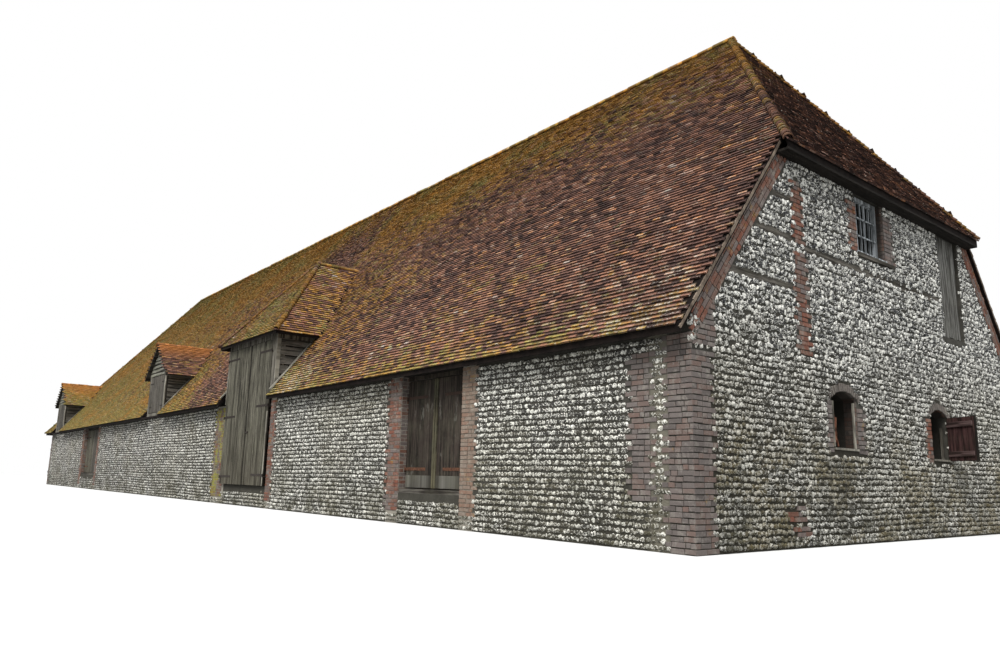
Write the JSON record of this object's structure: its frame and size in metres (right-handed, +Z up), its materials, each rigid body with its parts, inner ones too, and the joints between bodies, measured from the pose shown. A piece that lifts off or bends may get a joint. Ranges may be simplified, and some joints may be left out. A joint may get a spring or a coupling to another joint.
{
  "type": "tithe barn, 1:2 scale model",
  "caption": "Long aisled flint barn with a tiled half-hipped roof, a tall hipped midstrey, dormers, and boarded doors that swing open.",
  "frame": {"origin": "bottom centre of the bounding box, on the lowest ground", "axes": "+X along the barn towards the half-hipped gable, -Y the front with the tall midstrey, +Z up"},
  "size_m": [23.8346, 6.475, 5.6697],
  "materials": {
    "flint": "coursed grey, white and black flints in pale lime mortar",
    "brick": "old hand-made red-brown brick, dull and weathered",
    "clay_tile": "clay peg tiles with orange and yellow-green lichen",
    "frame_oak": "old oak, dark and dry",
    "weathered_timber": "silver-grey and dark weathered boards",
    "grey_door_boards": "silver-grey upright boards, bare and weathered",
    "dark_door_boards": "dark brown boards, bare and weathered",
    "wrought_iron": "rusted wrought iron"
  },
  "bodies": {
    "barn": {"arcade_braces": "frame_oak", "arcade_plates": "frame_oak", "arcade_posts": "frame_oak", "brick_quoins_and_jambs": "brick", "doorway_plinths": "flint", "dormer_fronts": "weathered_timber", "dormer_roofs": "clay_tile", "far_end_wall": "flint", "front_wall_end": "flint", "front_wall_far": "flint", "front_wall_middle": "flint", "front_wall_near": "flint", "gable_brickwork": "brick", "gable_shutters": "weathered_timber", "half_hip_board": "weathered_timber", "hinge_pins": "wrought_iron", "hip_bonnets": "clay_tile", "midstrey_cheeks": "weathered_timber", "midstrey_frame": "weathered_timber", "midstrey_roof": "clay_tile", "near_gable_lower": "flint", "near_gable_upper": "flint", "principal_rafters": "frame_oak", "rear_doors": "weathered_timber", "rear_walls": "flint", "ridge_tiles": "clay_tile", "roof_far_hip": "clay_tile", "roof_front_far": "clay_tile", "roof_front_near": "clay_tile", "roof_front_over": "clay_tile", "roof_half_hip": "clay_tile", "roof_rear": "clay_tile", "tie_beams": "frame_oak", "upper_window": "weathered_timber", "wall_plates": "frame_oak", "wall_timbers": "weathered_timber"},
    "midstrey_near_door": {"midstrey_near_leaf": "grey_door_boards", "midstrey_near_straps": "wrought_iron"},
    "midstrey_far_door": {"midstrey_far_leaf": "grey_door_boards", "midstrey_far_straps": "wrought_iron"},
    "middle_near_door": {"middle_door_near_leaf": "dark_door_boards", "middle_door_near_straps": "wrought_iron"},
    "middle_far_door": {"middle_door_far_leaf": "dark_door_boards", "middle_door_far_straps": "wrought_iron"},
    "far_near_door": {"far_door_near_leaf": "grey_door_boards"},
    "far_far_door": {"far_door_far_leaf": "grey_door_boards"}
  },
  "joints": [
    {"name": "midstrey_near_hinge", "type": "hinge", "parent": "barn", "child": "midstrey_near_door", "pos_m": [4.60168, -3.1415, 1.385], "axis": [0, 0, 1], "range_deg": [0, 110]},
    {"name": "midstrey_far_hinge", "type": "hinge", "parent": "barn", "child": "midstrey_far_door", "pos_m": [2.96768, -3.1415, 1.28], "axis": [0, 0, -1], "range_deg": [0, 110]},
    {"name": "middle_near_hinge", "type": "hinge", "parent": "barn", "child": "middle_near_door", "pos_m": [9.01768, -3.0245, 0.9], "axis": [0, 0, 1], "range_deg": [0, 85]},
    {"name": "middle_far_hinge", "type": "hinge", "parent": "barn", "child": "middle_far_door", "pos_m": [7.99768, -3.0245, 0.9], "axis": [0, 0, -1], "range_deg": [0, 85]},
    {"name": "far_near_hinge", "type": "hinge", "parent": "barn", "child": "far_near_door", "pos_m": [-5.70732, -3.0245, 0.9], "axis": [0, 0, 1], "range_deg": [0, 85]},
    {"name": "far_far_hinge", "type": "hinge", "parent": "barn", "child": "far_far_door", "pos_m": [-7.17732, -3.0245, 0.9], "axis": [0, 0, -1], "range_deg": [0, 85]}
  ]
}
